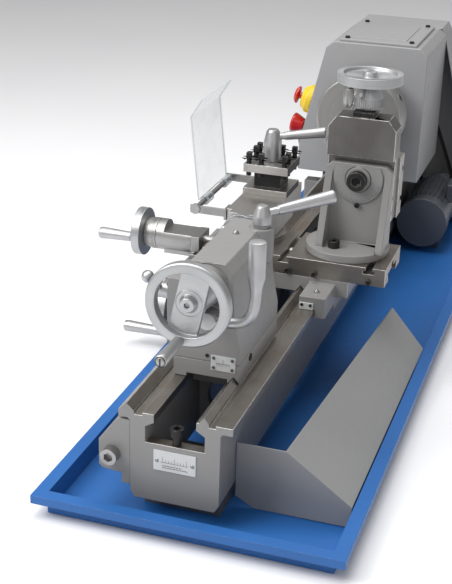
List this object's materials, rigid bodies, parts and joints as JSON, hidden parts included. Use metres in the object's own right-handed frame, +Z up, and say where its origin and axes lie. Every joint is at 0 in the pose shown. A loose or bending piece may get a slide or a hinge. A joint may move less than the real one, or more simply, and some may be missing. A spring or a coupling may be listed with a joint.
{
  "type": "metal lathe",
  "caption": "Bench metal lathe with sliding carriage, tailstock, chuck, four-way toolpost, clear chip shield and a vertical milling slide on the cross slide, in a chip tray.",
  "frame": {"origin": "on the bench under the middle of the bed, in the vertical plane of the spindle axis", "axes": "+X along the bed from headstock to tailstock, +Y from the operator to the back, +Z up"},
  "size_m": [1.416, 0.5393, 0.473],
  "materials": {
    "grey_paint": "satin hammer-free machine paint",
    "blue_paint": "satin powder coat",
    "guard_paint": "satin paint on sheet",
    "machined_iron": "ground and scraped",
    "turned_steel": "fine turned",
    "satin_chrome": "satin",
    "black_oxide": "black oxide, slightly oily",
    "wheel_aluminium": "satin turned",
    "clear_sheet": "clear polycarbonate",
    "belt_rubber": "matt",
    "motor_paint": "satin",
    "wiper_plate": "white enamelled",
    "panel_black": "matt",
    "stop_yellow": "satin",
    "stop_red": "gloss",
    "knob_black": "satin"
  },
  "bodies": {
    "frame": {"chip_tray": "blue_paint", "bed": "grey_paint", "rear_guard": "guard_paint", "headstock_housing": "grey_paint", "end_cover": "grey_paint", "motor": "motor_paint", "drive_belt": "belt_rubber", "control_panel": "panel_black", "stop_box": "stop_yellow", "gear_rack": "machined_iron", "bed_fasteners": "black_oxide", "leadscrew_brackets": "grey_paint", "spindle_bearings": "turned_steel"},
    "spindle": {"spindle": "turned_steel", "chuck_body": "turned_steel", "spindle_pulley": "wheel_aluminium"},
    "jaw_1": {"chuck_jaw_1": "turned_steel"},
    "jaw_2": {"chuck_jaw_2": "turned_steel"},
    "jaw_3": {"chuck_jaw_3": "turned_steel"},
    "motor_pulley": {"motor_pulley": "wheel_aluminium"},
    "leadscrew": {"leadscrew": "turned_steel"},
    "carriage": {"saddle": "grey_paint", "apron": "grey_paint", "saddle_wipers": "wiper_plate", "cross_bearing": "satin_chrome"},
    "carriage_wheel": {"carriage_handwheel": "wheel_aluminium"},
    "carriage_handle": {"carriage_handle": "satin_chrome"},
    "half_nut_lever": {"half_nut_lever": "satin_chrome"},
    "cross_slide": {"cross_slide": "machined_iron", "cross_gib_screws": "black_oxide", "angle_bracket": "grey_paint", "bracket_bolts": "black_oxide"},
    "cross_wheel": {"cross_screw": "turned_steel", "cross_dial": "satin_chrome", "cross_handwheel": "wheel_aluminium"},
    "cross_handle": {"cross_handle": "satin_chrome"},
    "compound_base": {"compound_base": "machined_iron"},
    "top_slide": {"top_slide": "machined_iron", "shield_bracket": "satin_chrome"},
    "compound_wheel": {"compound_handwheel": "wheel_aluminium"},
    "compound_handle": {"compound_handle": "satin_chrome"},
    "toolpost": {"toolpost_block": "black_oxide", "toolpost_bolts": "black_oxide"},
    "toolpost_lever": {"toolpost_lever": "satin_chrome"},
    "chip_shield": {"chip_shield": "clear_sheet"},
    "vertical_body": {"vertical_slide_body": "grey_paint"},
    "vertical_table": {"vertical_slide_table": "machined_iron"},
    "vertical_wheel": {"vertical_handwheel": "wheel_aluminium"},
    "tailstock": {"tailstock_base": "grey_paint", "tailstock_body": "grey_paint"},
    "quill": {"quill": "turned_steel", "tail_centre": "turned_steel"},
    "tailstock_wheel": {"tailstock_handwheel": "wheel_aluminium"},
    "tailstock_handle": {"tailstock_handle": "satin_chrome"},
    "quill_lever": {"quill_lever": "satin_chrome"},
    "bed_clamp_lever": {"bed_clamp_lever": "satin_chrome"},
    "estop_button": {"estop_button": "stop_red"},
    "start_button": {"start_button": "stop_red"},
    "direction_switch": {"direction_switch": "knob_black"},
    "speed_knob": {"speed_knob": "knob_black"}
  },
  "joints": [
    {"name": "spindle_turn", "type": "hinge", "parent": "frame", "child": "spindle", "pos_m": [-0.343, 0, 0.285], "axis": [1, 0, 0], "continuous": true},
    {"name": "jaw_1_slide", "type": "slide", "parent": "spindle", "child": "jaw_1", "axis": [0, 0, 1], "range_m": [-0.008, 0.012]},
    {"name": "jaw_2_slide", "type": "slide", "parent": "spindle", "child": "jaw_2", "axis": [0, -0.866, -0.5], "range_m": [-0.008, 0.012]},
    {"name": "jaw_3_slide", "type": "slide", "parent": "spindle", "child": "jaw_3", "axis": [0, 0.866, -0.5], "range_m": [-0.008, 0.012]},
    {"name": "motor_pulley_turn", "type": "hinge", "parent": "frame", "child": "motor_pulley", "pos_m": [-0.685, 0.118, 0.064], "axis": [1, 0, 0], "continuous": true},
    {"name": "leadscrew_turn", "type": "hinge", "parent": "frame", "child": "leadscrew", "pos_m": [0, -0.084, 0.084], "axis": [1, 0, 0], "continuous": true},
    {"name": "carriage_slide", "type": "slide", "parent": "frame", "child": "carriage", "axis": [1, 0, 0], "range_m": [-0.2, 0.045]},
    {"name": "carriage_wheel_turn", "type": "hinge", "parent": "carriage", "child": "carriage_wheel", "pos_m": [0.119, -0.156, 0.067], "axis": [0, -1, 0], "range_deg": [-199.33, 882.47]},
    {"name": "carriage_handle_spin", "type": "hinge", "parent": "carriage_wheel", "child": "carriage_handle", "pos_m": [0.14455, -0.216, 0.03118], "axis": [0, -1, 0], "continuous": true},
    {"name": "half_nut_lever_turn", "type": "hinge", "parent": "carriage", "child": "half_nut_lever", "pos_m": [0.197, -0.156, 0.129], "axis": [0, -1, 0], "range_deg": [-50, 10]},
    {"name": "cross_feed", "type": "slide", "parent": "carriage", "child": "cross_slide", "axis": [0, 1, 0], "range_m": [-0.04, 0.08]},
    {"name": "cross_wheel_turn", "type": "hinge", "parent": "carriage", "child": "cross_wheel", "pos_m": [0.115, -0.24, 0.189], "axis": [0, -1, 0], "range_deg": [-7201, 3601]},
    {"name": "cross_handle_spin", "type": "hinge", "parent": "cross_wheel", "child": "cross_handle", "pos_m": [0.143, -0.28, 0.187], "axis": [0, -1, 0], "continuous": true},
    {"name": "compound_swivel", "type": "hinge", "parent": "cross_slide", "child": "compound_base", "pos_m": [0.1, -0.054, 0.203], "axis": [0, 0, 1], "range_deg": [-5, 30]},
    {"name": "top_slide_feed", "type": "slide", "parent": "compound_base", "child": "top_slide", "axis": [1, 0, 0], "range_m": [0, 0.045]},
    {"name": "compound_wheel_turn", "type": "hinge", "parent": "top_slide", "child": "compound_wheel", "pos_m": [0.172, -0.054, 0.24], "axis": [1, 0, 0], "range_deg": [-1, 5401]},
    {"name": "compound_handle_spin", "type": "hinge", "parent": "compound_wheel", "child": "compound_handle", "pos_m": [0.212, -0.068, 0.254], "axis": [1, 0, 0], "continuous": true},
    {"name": "toolpost_index", "type": "hinge", "parent": "top_slide", "child": "toolpost", "pos_m": [0.037, -0.054, 0.259], "axis": [0, 0, 1], "continuous": true},
    {"name": "toolpost_lever_turn", "type": "hinge", "parent": "top_slide", "child": "toolpost_lever", "pos_m": [0.037, -0.054, 0.319], "axis": [0, 0, 1], "range_deg": [-60, 45]},
    {"name": "chip_shield_hinge", "type": "hinge", "parent": "top_slide", "child": "chip_shield", "pos_m": [0.075, -0.14, 0.253], "axis": [1, 0, 0], "range_deg": [-4, 70]},
    {"name": "vertical_swivel", "type": "hinge", "parent": "cross_slide", "child": "vertical_body", "pos_m": [0.105, 0.101, 0.3165], "axis": [1, 0, 0], "range_deg": [-12, 12]},
    {"name": "vertical_feed", "type": "slide", "parent": "vertical_body", "child": "vertical_table", "axis": [0, 0, 1], "range_m": [-0.02, 0.045]},
    {"name": "vertical_wheel_turn", "type": "hinge", "parent": "vertical_body", "child": "vertical_wheel", "pos_m": [0.0708, 0.101, 0.449], "axis": [0, 0, 1], "range_deg": [-2401, 5401]},
    {"name": "tailstock_slide", "type": "slide", "parent": "frame", "child": "tailstock", "axis": [1, 0, 0], "range_m": [-0.02, 0.09]},
    {"name": "quill_feed", "type": "slide", "parent": "tailstock", "child": "quill", "axis": [-1, 0, 0], "range_m": [0, 0.06]},
    {"name": "tailstock_wheel_turn", "type": "hinge", "parent": "tailstock", "child": "tailstock_wheel", "pos_m": [0.573, 0, 0.285], "axis": [1, 0, 0], "range_deg": [-5401, 1]},
    {"name": "tailstock_handle_spin", "type": "hinge", "parent": "tailstock_wheel", "child": "tailstock_handle", "pos_m": [0.605, -0.00925, 0.23739], "axis": [1, 0, 0], "continuous": true},
    {"name": "quill_lever_turn", "type": "hinge", "parent": "tailstock", "child": "quill_lever", "pos_m": [0.356, 0.026, 0.313], "axis": [0, 0, 1], "range_deg": [-40, 50]},
    {"name": "bed_clamp_turn", "type": "hinge", "parent": "tailstock", "child": "bed_clamp_lever", "pos_m": [0.523, 0.009, 0.245], "axis": [1, 0, 0], "range_deg": [-25, 12]},
    {"name": "estop_push", "type": "slide", "parent": "frame", "child": "estop_button", "axis": [0, 0.9747, -0.2234], "range_m": [0, 0.005]},
    {"name": "start_push", "type": "slide", "parent": "frame", "child": "start_button", "axis": [0, 0.9747, -0.2234], "range_m": [0, 0.004], "stiffness_N_per_m": 300},
    {"name": "direction_turn", "type": "hinge", "parent": "frame", "child": "direction_switch", "pos_m": [-0.593, -0.138, 0.178], "axis": [0, -1, 0], "range_deg": [-45, 45]},
    {"name": "speed_turn", "type": "hinge", "parent": "frame", "child": "speed_knob", "pos_m": [-0.541, -0.138, 0.178], "axis": [0, -1, 0], "range_deg": [-140, 140]}
  ],
  "couplings": [
    {"joint": "jaw_2_slide", "follows": "jaw_1_slide", "ratio": 1},
    {"joint": "jaw_3_slide", "follows": "jaw_1_slide", "ratio": 1},
    {"joint": "motor_pulley_turn", "follows": "spindle_turn", "ratio": 2.1154},
    {"joint": "carriage_wheel_turn", "follows": "carriage_slide", "rad_per_m": -76.923},
    {"joint": "cross_wheel_turn", "follows": "cross_feed", "rad_per_m": -1570.8},
    {"joint": "compound_wheel_turn", "follows": "top_slide_feed", "rad_per_m": 2094.4},
    {"joint": "tailstock_wheel_turn", "follows": "quill_feed", "rad_per_m": -1570.8},
    {"joint": "vertical_wheel_turn", "follows": "vertical_feed", "rad_per_m": 2094.4}
  ]
}
